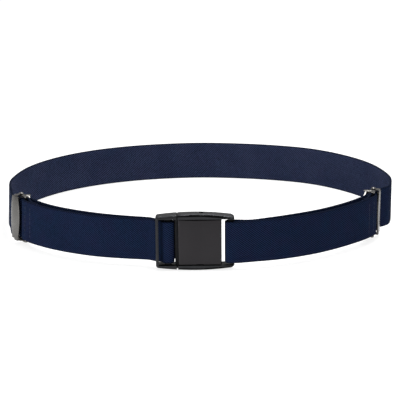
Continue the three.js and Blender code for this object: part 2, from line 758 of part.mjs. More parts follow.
// The adjuster is the same above and below, so the left one is the right one turned over.
function makeAdjuster(name) {
  const side = SIDES[name];
  const place = adjusterPlace(side);
  const turned = new THREE.Group();
  turned.add(piece(`${name}_adjuster_frame`, makeAdjusterFrame(), nickel));
  const upper = piece(`${name}_adjuster_upper_rivet`, makeRivet(), nickel);
  const lower = piece(`${name}_adjuster_lower_rivet`, makeRivet(), nickel);
  const [top, bottom] = side.sign > 0 ? [upper, lower] : [lower, upper];
  bottom.rotation.x = Math.PI;
  for (const rivet of [top, bottom]) {
    rivet.position.set(RIVET_ALONG, -RIVET_INWARD, 0);
    turned.add(rivet);
  }
  const lever = piece(`${name}_adjuster_lever`, makeLever(), nickel);
  lever.position.set(RIVET_ALONG, -RIVET_INWARD, 0);
  lever.rotation.z = -radians(side.leverRest);
  turned.add(lever);
  turned.rotation.x = side.sign > 0 ? 0 : Math.PI;
  const group = new THREE.Group();
  group.add(turned);
  group.rotation.set(
    side.sign * radians(side.lean), 0, Math.atan2(place.along.y, place.along.x), "ZXY",
  );
  group.position.set(place.middle.x, place.middle.y, STRAP_WIDTH / 2 + lift(place.middle.y));
  return group;
}

const belt = new THREE.Group();
belt.add(piece("strap", makeStrap(), webbingNavy));
belt.add(makeBuckle());
belt.add(makeAdjuster("left"));
belt.add(makeAdjuster("right"));

// The origin is the middle of the ground that the belt covers.
const bounds = new THREE.Box3().setFromObject(belt, true);
const centre = bounds.getCenter(new THREE.Vector3());
belt.position.set(-centre.x, -centre.y, -bounds.min.z);

export default belt;
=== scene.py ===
# %% [markdown]
# # An elastic stretch belt
# The belt stands on its lower edge, closed by its buckle. It is one long elastic strap,
# a two-part metal buckle and two metal adjusters with small levers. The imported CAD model
# is loaded first and stays where it is. Every piece below is built around it, in metres,
# in the same frame.

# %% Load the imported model
import math

import bmesh
import bpy
import numpy as np
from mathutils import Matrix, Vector
from mathutils.bvhtree import BVHTree


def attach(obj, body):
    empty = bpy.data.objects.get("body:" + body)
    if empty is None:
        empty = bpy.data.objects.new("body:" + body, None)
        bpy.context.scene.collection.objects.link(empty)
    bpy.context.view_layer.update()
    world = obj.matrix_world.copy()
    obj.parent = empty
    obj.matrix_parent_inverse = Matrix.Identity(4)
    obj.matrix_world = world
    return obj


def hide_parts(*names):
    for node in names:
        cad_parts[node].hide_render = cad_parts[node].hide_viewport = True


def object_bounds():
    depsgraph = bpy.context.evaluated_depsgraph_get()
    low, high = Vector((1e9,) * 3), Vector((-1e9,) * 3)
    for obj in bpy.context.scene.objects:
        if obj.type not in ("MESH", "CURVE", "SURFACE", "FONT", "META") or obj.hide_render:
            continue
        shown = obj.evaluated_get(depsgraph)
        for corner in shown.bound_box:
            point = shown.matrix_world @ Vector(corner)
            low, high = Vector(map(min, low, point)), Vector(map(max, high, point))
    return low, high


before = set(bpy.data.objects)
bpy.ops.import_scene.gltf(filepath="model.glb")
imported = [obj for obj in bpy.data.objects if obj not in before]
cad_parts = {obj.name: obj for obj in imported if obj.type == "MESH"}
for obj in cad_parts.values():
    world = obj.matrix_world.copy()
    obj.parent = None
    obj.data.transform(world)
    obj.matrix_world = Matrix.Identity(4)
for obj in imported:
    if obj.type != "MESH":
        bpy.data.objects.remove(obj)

MM = 0.001
cad_box = [list(corner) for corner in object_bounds()]
print("CAD box in mm:", [[round(x / MM, 1) for x in corner] for corner in cad_box])

# %% [markdown]
# ## Camera
# The photograph was taken from in front and a little above, with a long lens, so that the
# back of the loop shows over the front. The camera could be placed by eye, but here its
# distance, tilt and lens come from the loop's own size in the picture: the near and the far
# side of a loop of known depth give the distance, and the width then gives the lens.

# %% Camera
PICTURE_SIDE = 400
FOCAL_PIXELS = 1506.4
CAMERA_DISTANCE = 0.9666
CAMERA_TILT = math.radians(17.09)
CAMERA_ROLL = math.radians(-0.489)
AIM = Vector((0.0001, 0, 0.0131))

lens = bpy.data.cameras.new("camera")
lens.sensor_width = 36
lens.lens = lens.sensor_width * FOCAL_PIXELS / PICTURE_SIDE
lens.clip_start = 0.05
camera = bpy.data.objects.new("camera", lens)
camera.rotation_euler = (math.pi / 2 - CAMERA_TILT, 0, 0)
camera.rotation_euler.rotate_axis("Z", CAMERA_ROLL)
camera.location = AIM + CAMERA_DISTANCE * Vector(
    (0, -math.cos(CAMERA_TILT), math.sin(CAMERA_TILT))
)
bpy.context.scene.collection.objects.link(camera)
bpy.context.scene.camera = camera
print("camera at", [round(x, 4) for x in camera.location], "lens", round(lens.lens, 1), "mm")

# %% [markdown]
# ## Helpers for shaders
# Each material is a small tree of nodes. One short function adds a node, sets its plain
# values and joins its inputs, so that a material below reads from top to bottom.

# %% Helpers for shaders
def add_node(tree, kind, settings=None, **inputs):
    """One node in a tree. An input is a plain value or another node's output."""
    node = tree.nodes.new(kind)
    for name, value in (settings or {}).items():
        setattr(node, name, value)
    for name, value in inputs.items():
        label = name.replace("_", " ")
        socket = node.inputs[int(name[1:])] if name[1:].isdigit() else node.inputs[label]
        if isinstance(value, bpy.types.NodeSocket):
            tree.links.new(value, socket)
        else:
            socket.default_value = value
    return node


def math_node(tree, operation, *values):
    """A Math node's result from one, two or three values."""
    places = {f"_{i}": value for i, value in enumerate(values)}
    return add_node(tree, "ShaderNodeMath", {"operation": operation}, **places).outputs[0]


def mix_colour(tree, share, first, second):
    """A blend of two colours, from the first at share 0 to the second at share 1."""
    node = add_node(tree, "ShaderNodeMix", {"data_type": "RGBA"}, _0=share, _6=first, _7=second)
    return node.outputs[2]


def spread(tree, value, low, high, to_low=0.0, to_high=1.0):
    """A value stretched from one range to another and kept inside it."""
    node = add_node(
        tree, "ShaderNodeMapRange",
        Value=value, From_Min=low, From_Max=high, To_Min=to_low, To_Max=to_high,
    )
    return node.outputs[0]


def noise_node(tree, place, size, detail=2.0):
    """The grey value of a Noise texture."""
    node = add_node(tree, "ShaderNodeTexNoise", Vector=place, Scale=size, Detail=detail)
    return node.outputs[0]


def marked_faces(tree, name):
    """A mark that the mesh carries on its faces, as a number."""
    return add_node(tree, "ShaderNodeAttribute", {"attribute_name": name}).outputs["Fac"]


def new_group(name, inputs, outputs):
    """An empty node group with named number inputs and outputs, and its two ends."""
    tree = bpy.data.node_groups.new(name, "ShaderNodeTree")
    for label, value in inputs.items():
        socket = tree.interface.new_socket(label, in_out="INPUT", socket_type="NodeSocketFloat")
        socket.default_value = value
    for label in outputs:
        tree.interface.new_socket(label, in_out="OUTPUT", socket_type="NodeSocketFloat")
    start = tree.nodes.new("NodeGroupInput")
    end = tree.nodes.new("NodeGroupOutput")
    return tree, start.outputs, end.inputs


def use_group(tree, group, **inputs):
    """A node group placed in a material with the material's own values."""
    node = tree.nodes.new("ShaderNodeGroup")
    node.node_tree = group
    for name, value in inputs.items():
        socket = node.inputs[name.replace("_", " ")]
        if isinstance(value, bpy.types.NodeSocket):
            tree.links.new(value, socket)
        else:
            socket.default_value = value
    return node.outputs


def new_material(name, **plain):
    """A material with its Principled shader. Plain values go straight on its sockets."""
    material = bpy.data.materials.new(name)
    material.use_nodes = True
    shader = material.node_tree.nodes["Principled BSDF"]
    for label, value in plain.items():
        shader.inputs[label.replace("_", " ")].default_value = value
    return material, material.node_tree, shader


# %% [markdown]
# ## Effects that several finishes share
# Four effects appear on more than one finish, so each is a node group that is built once.
# *Fine grain* is the small unevenness of cast or plated metal and of yarn. *Edge wear and
# highlight* is the bright rub on corners, partly real wear and partly a painted highlight: it
# reads a mark that the edge rounding below leaves on the rounded faces and breaks it up with
# noise. *Painted hollow shade* is painted shade: faces that look into a gap are darkened,
# standing in for the shade that falls there. *Cloudiness* is the slow change in tone from
# handling. Each could be drawn again in every material, but one group with its own values keeps
# them alike.

# %% Fine grain
grain_group, given, made = new_group(
    "fine_grain", {"Size": 2000.0, "Contrast": 1.0}, ["Grain"]
)
place = add_node(grain_group, "ShaderNodeTexCoord").outputs["Object"]
speckle = noise_node(grain_group, place, given["Size"])
around = math_node(grain_group, "SUBTRACT", speckle, 0.5)
strong = math_node(grain_group, "MULTIPLY", around, given["Contrast"])
grain_group.links.new(math_node(grain_group, "ADD", strong, 0.5), made["Grain"])
print("group", grain_group.name, "with", len(grain_group.nodes), "nodes")

# %% Edge wear and painted highlight
# Partly real wear and partly painted highlight: the rounded edge faces are lightened.
wear_and_highlight_group, given, made = new_group("edge_wear_and_highlight", {"Amount": 0.5, "Size": 900.0}, ["Wear"])
place = add_node(wear_and_highlight_group, "ShaderNodeTexCoord").outputs["Object"]
edge = marked_faces(wear_and_highlight_group, "edge")
patches = noise_node(wear_and_highlight_group, place, given["Size"], 3.0)
half_amount = math_node(wear_and_highlight_group, "MULTIPLY", given["Amount"], 0.5)
limit = math_node(wear_and_highlight_group, "SUBTRACT", 0.75, half_amount)
broken = math_node(wear_and_highlight_group, "GREATER_THAN", patches, limit)
soft = math_node(wear_and_highlight_group, "ADD", math_node(wear_and_highlight_group, "MULTIPLY", broken, 0.6), 0.4)
worn_and_lit_edge = math_node(wear_and_highlight_group, "MULTIPLY", edge, soft)
wear_and_highlight = math_node(wear_and_highlight_group, "MULTIPLY", worn_and_lit_edge, given["Amount"])
wear_and_highlight_group.links.new(wear_and_highlight, made["Wear"])
print("group", wear_and_highlight_group.name, "with", len(wear_and_highlight_group.nodes), "nodes")

# %% Painted shade in hollows
# Painted shade: the more of a face's view is closed in by metal, the darker it is made.
occlusion_shade_group, given, made = new_group("painted_occlusion_shade", {"Amount": 0.9, "Size": 1500.0}, ["Shade"])
place = add_node(occlusion_shade_group, "ShaderNodeTexCoord").outputs["Object"]
closed = marked_faces(occlusion_shade_group, "occlusion")
patches = noise_node(occlusion_shade_group, place, given["Size"])
around = math_node(occlusion_shade_group, "SUBTRACT", patches, 0.5)
level = math_node(occlusion_shade_group, "MULTIPLY_ADD", around, 0.15, closed)
deep = spread(occlusion_shade_group, level, 0.05, 0.3)
shade = math_node(occlusion_shade_group, "MULTIPLY", deep, given["Amount"])
occlusion_shade_group.links.new(shade, made["Shade"])
print("group", occlusion_shade_group.name, "with", len(occlusion_shade_group.nodes), "nodes")

# %% Cloudiness
cloud_group, given, made = new_group("cloudiness", {"Size": 60.0, "Strength": 0.2}, ["Tone"])
place = add_node(cloud_group, "ShaderNodeTexCoord").outputs["Object"]
slow = noise_node(cloud_group, place, given["Size"])
around = math_node(cloud_group, "SUBTRACT", slow, 0.5)
strong = math_node(cloud_group, "MULTIPLY", around, given["Strength"])
tone = math_node(cloud_group, "ADD", strong, 0.5)
cloud_group.links.new(tone, made["Tone"])
print("group", cloud_group.name, "with", len(cloud_group.nodes), "nodes")

# %% [markdown]
# ## Webbing
# The strap is woven elastic: fine yarns cross in a twill, so that slanting ridges a little
# over a millimetre apart run over its face. The ridges could be modelled, but there are
# many hundreds of them, and a bump says the same. They are drawn in the strap's own
# measure, along and across, so that they follow every turn of the cloth. The two selvedges
# are packed tighter and look darker. The inside of the loop is painted paler and greyer:
# painted light for the light that washes the inside of the loop. Two numbers matter: the
# pitch of the ridges along the strap, and their slope. A lighter yarn lies on the ridges
# and deep shade between them, and short beads show where one yarn dives under the next.

# %% Twill group
TWILL_PITCH = 0.162
TWILL_SLOPE = 1.24
twill_group, given, made = new_group(
    "twill", {"Along": 0.0, "Across": 0.0, "Pitch": TWILL_PITCH, "Slope": TWILL_SLOPE},
    ["Ridge", "Yarn"],
)
rise = math_node(twill_group, "MULTIPLY", given["Across"], given["Slope"])
falling = math_node(twill_group, "ADD", given["Along"], rise)
slanted = math_node(twill_group, "DIVIDE", falling, given["Pitch"])
wave = math_node(twill_group, "SINE", math_node(twill_group, "MULTIPLY", slanted, math.tau))
ridge = spread(twill_group, wave, -0.55, 0.55)
rising = math_node(twill_group, "SUBTRACT", given["Along"], rise)
steep = math_node(twill_group, "DIVIDE", rising, given["Pitch"])
dive = math_node(twill_group, "SINE", math_node(twill_group, "MULTIPLY", steep, 2 * math.tau))
beads = math_node(twill_group, "MULTIPLY_ADD", dive, 0.5, 0.5)
twill_group.links.new(ridge, made["Ridge"])
twill_group.links.new(math_node(twill_group, "MULTIPLY", ridge, beads), made["Yarn"])
print("group", twill_group.name, "with", len(twill_group.nodes), "nodes")

# %% Webbing
webbing, tree, shader = new_material(
    "navy_webbing", Roughness=0.95, Specular_IOR_Level=0.04,
)
cloth = add_node(tree, "ShaderNodeUVMap", {"uv_map": "cloth"}).outputs[0]
split = add_node(tree, "ShaderNodeSeparateXYZ", Vector=cloth).outputs
twill = use_group(tree, twill_group, Along=split[0], Across=split[1])
fuzz = use_group(tree, grain_group, Size=1300.0, Contrast=2.2)["Grain"]
tone = use_group(tree, cloud_group, Size=45.0, Strength=0.5)["Tone"]
ridge = math_node(tree, "MULTIPLY", twill["Ridge"], 0.7)
yarn = math_node(tree, "MULTIPLY_ADD", twill["Yarn"], 0.4, ridge)
uneven_fuzz = math_node(tree, "SUBTRACT", fuzz, 0.5)
uneven_tone = math_node(tree, "SUBTRACT", tone, 0.5)
uneven = math_node(tree, "ADD", uneven_fuzz, uneven_tone)
share = math_node(tree, "MULTIPLY_ADD", uneven, 0.4, yarn)
hue = use_group(tree, cloud_group, Size=110.0, Strength=1.6)["Tone"]
pale_navy = mix_colour(tree, hue, (0.017, 0.0225, 0.068, 1), (0.0095, 0.0265, 0.07, 1))
selvedge = spread(tree, math_node(tree, "ABSOLUTE", split[1]), 1.17, 1.25, 0.0, 0.7)
# Painted light: inward faces are mixed to a paler, greyer navy, standing in for the light inside
# the loop.
painted_inside_light = math_node(tree, "MULTIPLY", marked_faces(tree, "inside"), tone)
lit_inside_colour = mix_colour(tree, painted_inside_light, pale_navy, (0.041, 0.048, 0.091, 1))
ridged = mix_colour(tree, share, (0.0004, 0.0007, 0.002, 1), lit_inside_colour)
colour = mix_colour(tree, selvedge, ridged, (0.001, 0.0018, 0.005, 1))
tree.links.new(colour, shader.inputs["Base Color"])
height = math_node(tree, "MULTIPLY_ADD", fuzz, 0.3, yarn)
bump = add_node(tree, "ShaderNodeBump", Strength=0.3, Distance=0.00015, Height=height)
tree.links.new(bump.outputs[0], shader.inputs["Normal"])
print("material", webbing.name, "with", len(tree.nodes), "nodes")

# %% Sewing thread
thread, tree, shader = new_material("navy_thread", Roughness=0.6, Specular_IOR_Level=0.2)
tone = use_group(tree, cloud_group, Size=200.0, Strength=0.8)["Tone"]
fibres = use_group(tree, grain_group, Size=4000.0, Contrast=1.0)["Grain"]
tree.links.new(
    mix_colour(tree, tone, (0.006, 0.011, 0.032, 1), (0.01, 0.018, 0.05, 1)),
    shader.inputs["Base Color"],
)
bump = add_node(tree, "ShaderNodeBump", Strength=0.3, Distance=0.00005, Height=fibres)
tree.links.new(bump.outputs[0], shader.inputs["Normal"])
print("material", thread.name, "with", len(tree.nodes), "nodes")

# %% [markdown]
# ## Metals
# The buckle is a zinc casting with a satin black plating: dark and faintly grainy, and
# rubbed paler on its corners, partly real wear and partly a painted highlight. Faces that
# look into gaps carry painted shade. The inset face plate is the same black but matter, with
# a fine lengthwise brushing. The adjusters are pressed steel with a bright nickel plating,
# with paler edges and painted shade in the same way. All three share the groups above, with
# different values.

# %% Satin black for the buckle
satin_black, tree, shader = new_material(
    "satin_black_metal", Metallic=0.85, Specular_IOR_Level=0.2,
)
grain = use_group(tree, grain_group, Size=1500.0, Contrast=1.2)["Grain"]
tone = use_group(tree, cloud_group, Size=120.0, Strength=0.8)["Tone"]
# Paler corners: partly real wear and partly painted highlight.
wear_and_highlight = use_group(tree, wear_and_highlight_group, Amount=0.6, Size=700.0)["Wear"]
dark = mix_colour(tree, tone, (0.018, 0.0185, 0.0205, 1), (0.038, 0.039, 0.042, 1))
rubbed_and_lit = mix_colour(tree, wear_and_highlight, dark, (0.2, 0.2, 0.2, 1))
# Painted shade: faces that look into gaps are mixed towards black.
shade = use_group(tree, occlusion_shade_group, Amount=0.97)["Shade"]
shaded = mix_colour(tree, shade, rubbed_and_lit, (0.0008, 0.0008, 0.001, 1))
tree.links.new(shaded, shader.inputs["Base Color"])
tree.links.new(spread(tree, grain, 0.2, 0.8, 0.3, 0.46), shader.inputs["Roughness"])
bump = add_node(tree, "ShaderNodeBump", Strength=0.25, Distance=0.00008, Height=grain)
tree.links.new(bump.outputs[0], shader.inputs["Normal"])
print("material", satin_black.name, "with", len(tree.nodes), "nodes")

# %% Brushed black for the face plate
brushed_black, tree, shader = new_material("brushed_black_plate", Metallic=0.65)
place = add_node(tree, "ShaderNodeTexCoord").outputs["Object"]
STREAKS_PER_METRE = (160.0, 1500.0, 3200.0)
drawn = add_node(tree, "ShaderNodeMapping", Vector=place, Scale=STREAKS_PER_METRE).outputs[0]
lines = noise_node(tree, drawn, 1.0)
tone = use_group(tree, cloud_group, Size=90.0, Strength=0.7)["Tone"]
# Paler edges: partly real wear and partly painted highlight.
wear_and_highlight = use_group(tree, wear_and_highlight_group, Amount=0.35, Size=700.0)["Wear"]
streaked = math_node(tree, "MULTIPLY_ADD", lines, 0.6, math_node(tree, "MULTIPLY", tone, 0.4))
dark = mix_colour(tree, streaked, (0.0125, 0.0112, 0.013, 1), (0.027, 0.0245, 0.0275, 1))
rubbed_and_lit = mix_colour(tree, wear_and_highlight, dark, (0.16, 0.16, 0.16, 1))
tree.links.new(rubbed_and_lit, shader.inputs["Base Color"])
tree.links.new(spread(tree, lines, 0.25, 0.75, 0.42, 0.58), shader.inputs["Roughness"])
bump = add_node(tree, "ShaderNodeBump", Strength=0.3, Distance=0.00005, Height=lines)
tree.links.new(bump.outputs[0], shader.inputs["Normal"])
print("material", brushed_black.name, "with", len(tree.nodes), "nodes")

# %% Bright nickel for the adjusters
nickel, tree, shader = new_material("bright_nickel", Metallic=1.0)
grain = use_group(tree, grain_group, Size=1100.0, Contrast=1.0)["Grain"]
tone = use_group(tree, cloud_group, Size=150.0, Strength=0.6)["Tone"]
# Bright edges: partly real wear and partly painted highlight.
wear_and_highlight = use_group(tree, wear_and_highlight_group, Amount=0.5, Size=1200.0)["Wear"]
plated = mix_colour(tree, tone, (0.095, 0.091, 0.087, 1), (0.165, 0.16, 0.153, 1))
rubbed_and_lit = mix_colour(tree, wear_and_highlight, plated, (0.5, 0.49, 0.47, 1))
# Painted shade: faces that look into gaps are mixed towards black.
shade = use_group(tree, occlusion_shade_group, Amount=0.8)["Shade"]
shaded = mix_colour(tree, shade, rubbed_and_lit, (0.012, 0.012, 0.014, 1))
tree.links.new(shaded, shader.inputs["Base Color"])
tree.links.new(spread(tree, grain, 0.2, 0.8, 0.22, 0.32), shader.inputs["Roughness"])
bump = add_node(tree, "ShaderNodeBump", Strength=0.1, Distance=0.00005, Height=grain)
tree.links.new(bump.outputs[0], shader.inputs["Normal"])
print("material", nickel.name, "with", len(tree.nodes), "nodes")

# %% [markdown]
# ## The strap's path
# The real strap is one length of webbing that is threaded through both adjusters and the
# buckle. The CAD solid already follows that path, as a ribbon with square edges. The path
# could be typed in again, but reading it from the solid keeps the two in step: the rim of
# the ribbon's upper face, walked once round, is the two sides of the path with a short cut
# end between them, and so is the rim of its lower face.

# %% Read the rims of the ribbon
def joined_copy(node):
    """A copy of a CAD node's mesh in which the doubled corners are joined."""
    shape = bmesh.new()
    shape.from_mesh(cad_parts[node].data)
    bmesh.ops.remove_doubles(shape, verts=shape.verts, dist=0.001 * MM)
    return shape


def rim_points(shape, on_cap):
    """The rim of the ribbon's upper or lower face, walked once round."""
    cap = {face for face in shape.faces if all(on_cap(v.co.z) for v in face.verts)}
    following = {}
    for face in cap:
        for loop in face.loops:
            if sum(other in cap for other in loop.edge.link_faces) == 1:
                following[loop.vert] = loop.link_loop_next.vert
    first = min(following, key=lambda v: v.index)
    walk = [first]
    while following[walk[-1]] != first:
        walk.append(following[walk[-1]])
    return np.array([v.co for v in walk])


def two_sides(rim):
    """The rim cut at its four corners into the ribbon's two sides, both the same way."""
    ahead = np.roll(rim, -1, 0) - rim
    behind = np.roll(ahead, 1, 0)
    ahead /= np.linalg.norm(ahead, axis=1)[:, None]
    behind /= np.linalg.norm(behind, axis=1)[:, None]
    corners = set(np.argsort((ahead * behind).sum(1))[:4].tolist())
    start = next(c for c in sorted(corners) if (c - 1) % len(rim) in corners)
    turned = np.roll(rim, -start, 0)
    half = len(rim) // 2
    return turned[:half], turned[half:][::-1]


strap_shape = joined_copy("strap")
strap_shape.verts.index_update()
CAP_LEVEL = 0.5 * cad_box[1][2] - 0.002
upper_pair = two_sides(rim_points(strap_shape, lambda z: z > CAP_LEVEL))
lower_rim = two_sides(rim_points(strap_shape, lambda z: z < CAP_LEVEL))
strap_shape.free()
lower_orders = [
    lower_rim, lower_rim[::-1],
    tuple(side[::-1] for side in lower_rim), tuple(side[::-1] for side in lower_rim[::-1]),
]
lower_pair = min(
    lower_orders,
    key=lambda pair: sum(np.abs(pair[i][:, :2] - upper_pair[i][:, :2]).sum() for i in (0, 1)),
)
upper_line = (upper_pair[0] + upper_pair[1]) / 2
lower_line = (lower_pair[0] + lower_pair[1]) / 2
if upper_line[0, 0] > upper_line[-1, 0]:
    upper_line, lower_line = upper_line[::-1], lower_line[::-1]
steps = np.linalg.norm(np.diff((upper_line + lower_line) / 2, axis=0), axis=1)
print("path points", len(upper_line), "length in mm", round(float(steps.sum()) / MM, 1))

# %% [markdown]
# ## A finer path
# The CAD path bends in straight steps. Between each two of its points a smooth curve is
# drawn that leaves and meets them in the path's own direction, and new points are set about
# a millimetre apart, and closer round the bars, where a curve of two millimetres has to
# look round.

# %% Smooth the path
FINE_STEP = 1.1 * MM


def smooth_between(rows, places, wanted):
    """Rows read at other places along a line, on curves that pass through every row."""
    slopes = np.gradient(rows, places, axis=0)
    left = np.clip(np.searchsorted(places, wanted, side="right") - 1, 0, len(places) - 2)
    gap = (places[left + 1] - places[left])[:, None]
    t = (wanted[:, None] - places[left][:, None]) / gap
    from_left = (1 + 2 * t) * (1 - t) ** 2 * rows[left] + t * (1 - t) ** 2 * gap * slopes[left]
    to_right = t * t * (3 - 2 * t) * rows[left + 1] - t * t * (1 - t) * gap * slopes[left + 1]
    return from_left + to_right


run = np.concatenate([[0], np.cumsum(steps)])
stations = [0.0]
for start, end in zip(run[:-1], run[1:]):
    count = max(2, round((end - start) / FINE_STEP))
    stations.extend(start + (end - start) * (i + 1) / count for i in range(count))
stations = np.array(stations)
upper_fine = smooth_between(upper_line, run, stations)
lower_fine = smooth_between(lower_line, run, stations)
print("fine path points", len(stations))

# %% [markdown]
# ## The strap
# Woven webbing is flat with soft, rounded selvedges, and never has the square edge of the
# CAD ribbon. A curve with a bevel profile could follow the path, but it would twist where
# the strap leans. Here the cross-section is placed at every point one by one: its width runs
# from the lower line to the upper line and its thickness is square to the path. Each
# corner also keeps its place along and across the strap, for the weave.

# %% Build the strap
STRAP_WIDTH = 25.4 * MM
STRAP_THICKNESS = 1.5 * MM
SELVEDGE = [(0.0, 1.0), (0.55, 0.88), (0.87, 0.52), (1.0, 0.0)]
EDGE_ROUND = 0.7 * MM


def strap_section():
    """The webbing's outline: pairs of across and thick, each from -1 to 1."""
    flat = [-0.8, -0.55, -0.3, 0.0, 0.3, 0.55, 0.8]
    half = STRAP_WIDTH / 2
    edge = [(1 - EDGE_ROUND * (1 - a) / half, t) for a, t in SELVEDGE]
    front = [(-a, t) for a, t in edge[::-1]] + [(a, 1.0) for a in flat] + edge
    back = [(-a, -t) for a, t in front[1:-1]]
    return front + back


def place_on_strap(at, across, thick):
    """A point of the strap: at a place along it, across from -1 to 1, off its middle."""
    at = np.atleast_1d(at)
    top = smooth_between(upper_line, run, at)
    low = smooth_between(lower_line, run, at)
    near = (smooth_between(upper_line, run, np.clip(at + 0.2 * MM, 0, run[-1]))
            - smooth_between(upper_line, run, np.clip(at - 0.2 * MM, 0, run[-1])))
    side = np.stack([-near[:, 1], near[:, 0], np.zeros(len(at))], 1)
    side /= np.linalg.norm(side, axis=1)[:, None]
    return (top + low) / 2 + (top - low) / 2 * across + side * thick


def make_object(name, points, faces, material, body, stands_for=()):
    """A new piece from points and faces, on its body, hiding the CAD parts it stands for."""
    mesh = bpy.data.meshes.new(name)
    mesh.from_pydata([tuple(p) for p in points], [], faces)
    shape = bmesh.new()
    shape.from_mesh(mesh)
    bmesh.ops.recalc_face_normals(shape, faces=shape.faces)
    shape.to_mesh(mesh)
    shape.free()
    mesh.materials.append(material)
    mesh.shade_smooth()
    piece = bpy.data.objects.new(name, mesh)
    bpy.context.scene.collection.objects.link(piece)
    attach(piece, body)
    if stands_for:
        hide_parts(*stands_for)
    return piece


section = strap_section()
rings = np.stack([
    place_on_strap(stations, across, thick * STRAP_THICKNESS / 2) for across, thick in section
], 1)
count = len(section)
points = rings.reshape(-1, 3)
faces = [
    (low + k, low + (k + 1) % count, low + count + (k + 1) % count, low + count + k)
    for low in range(0, (len(stations) - 1) * count, count) for k in range(count)
]
faces.append(tuple(range(count))[::-1])
faces.append(tuple((len(stations) - 1) * count + k for k in range(count)))
strap = make_object("woven_strap", points, faces, webbing, "belt", ["strap"])

faces_in = strap.data.attributes.new("inside", "FLOAT", "FACE")
faces_in.data.foreach_set("value", [
    float(face.normal.xy.dot(-face.center.xy) > 0) for face in strap.data.polygons
])
weave_map = strap.data.uv_layers.new(name="cloth")
across_cm = np.array([a for a, _ in section]) * STRAP_WIDTH / 2 / (10 * MM)
corner = np.zeros(len(strap.data.loops), dtype=int)
strap.data.loops.foreach_get("vertex_index", corner)
weave = np.stack([stations[corner // count] / (10 * MM), across_cm[corner % count]], 1)
weave_map.data.foreach_set("uv", weave.ravel().astype(np.float32))
print("strap faces", len(faces), "thickness in mm", STRAP_THICKNESS / MM)

# %% [markdown]
# ## Stitching on the sewn eyes
# The strap's two ends are turned round the adjusters' end bars and sewn down. Two rows of
# short stitches in the strap's own colour cross it, through the outer layer and the tail
# behind it. A dashed line in the material would look right from afar only, so each stitch
# is a small raised thread, and the rows show on both faces.

# %% Stitches
STITCH_LENGTH = 2.1 * MM
STITCH_GAP = 0.7 * MM
STITCH_RISE = 0.22 * MM
STITCH_WIDTH = 0.5 * MM
STITCH_ROWS = (3.4 * MM, 8.6 * MM)
STITCH_SINK = 0.03 * MM
ROW_END = 1.5 * MM
STITCH_RINGS = 7
STITCH_SIDES = 6


def stitch_thread(at, across, face):
    """One stitch: a low rounded thread across the strap. face is 1 or -1."""
    rings = []
    for i in range(STITCH_RINGS):
        share = i / (STITCH_RINGS - 1)
        swell = math.sin(math.pi * (0.12 + 0.76 * share)) ** 0.6
        level = across + (share - 0.5) * STITCH_LENGTH / (STRAP_WIDTH / 2)
        for k in range(STITCH_SIDES):
            turn = math.tau * k / STITCH_SIDES
            rise = STITCH_RISE * (0.35 + 0.65 * math.cos(turn)) * swell
            lift = face * (STRAP_THICKNESS / 2 + rise - STITCH_SINK)
            spot = at + STITCH_WIDTH / 2 * math.sin(turn) * swell
            rings.append(place_on_strap(spot, level, lift)[0])
    last = (STITCH_RINGS - 1) * STITCH_SIDES
    faces = [
        (
            low + k, low + (k + 1) % STITCH_SIDES,
            low + STITCH_SIDES + (k + 1) % STITCH_SIDES, low + STITCH_SIDES + k,
        )
        for low in range(0, last, STITCH_SIDES) for k in range(STITCH_SIDES)
    ]
    faces += [tuple(range(STITCH_SIDES))[::-1], tuple(last + k for k in range(STITCH_SIDES))]
    return rings, faces


def stitch_rows(name, end, way, other, outward):
    """The rows on one sewn tail and, behind them, on the layer that it is sewn to.
    other is the place along the strap on that layer which lies against the tail's cut end.
    outward is 1 or -1, the strap's side that looks away from the waist there."""
    points, faces = [], []
    pitch = STITCH_LENGTH + STITCH_GAP
    count = int((STRAP_WIDTH - 2 * ROW_END) // pitch)
    for row in STITCH_ROWS:
        for i in range(count):
            across = (i - (count - 1) / 2) * pitch / (STRAP_WIDTH / 2)
            for at, face in ((end + way * row, 1), (other - way * row, 1)):
                made, made_faces = stitch_thread(at, across, face * outward)
                faces += [tuple(len(points) + k for k in f) for f in made_faces]
                points += made
    return make_object(name, points, faces, thread, "belt")


def facing_place(at, low, high):
    """The place on another stretch of the strap that lies nearest to a place on it."""
    here = place_on_strap(at, 0, 0)[0]
    tries = np.linspace(low, high, 400)
    return float(tries[np.argmin(np.linalg.norm(place_on_strap(tries, 0, 0) - here, axis=1))])


TAIL_SPOT = 2 * MM
SEARCH_FROM, SEARCH_TO = 12 * MM, 40 * MM
total = float(run[-1])
left_other = facing_place(TAIL_SPOT, SEARCH_FROM, SEARCH_TO)
right_other = facing_place(total - TAIL_SPOT, total - SEARCH_TO, total - SEARCH_FROM)
outer_side = place_on_strap(left_other, 0, MM)[0] - place_on_strap(left_other, 0, 0)[0]
outward = 1 if outer_side[1] < 0 else -1
meeting = [round(x / MM, 1) for x in (left_other, total - right_other)]
print("sewn layers meet, in mm from the ends, at", meeting)
stitch_rows("left_sewn_eye_stitches", 0.0, 1, left_other + TAIL_SPOT, outward)
stitch_rows("right_sewn_eye_stitches", total, -1, right_other - TAIL_SPOT, outward)

# %% [markdown]
# ## Rounded edges for the metal
# Cast and pressed metal has no knife edges: each corner is rounded by a tenth or two of a
# millimetre, and that is where the light catches. The CAD solids keep sharp edges, so each
# metal piece is rebuilt from its node: flat areas are joined into single faces, the sharp
# edges are rounded, and the new faces get a mark that the material's wear and painted
# highlight reads. Each face also gets the share of its view that is closed in by metal,
# which the materials turn into painted shade.

# %% Measure how closed in a face is
# This share becomes painted shade in the satin black and nickel materials.
HOLLOW_REACH = 5 * MM
LOOKS = 64
LOOK_START = 0.02 * MM
GOLDEN_TURN = math.pi * (3 - math.sqrt(5))


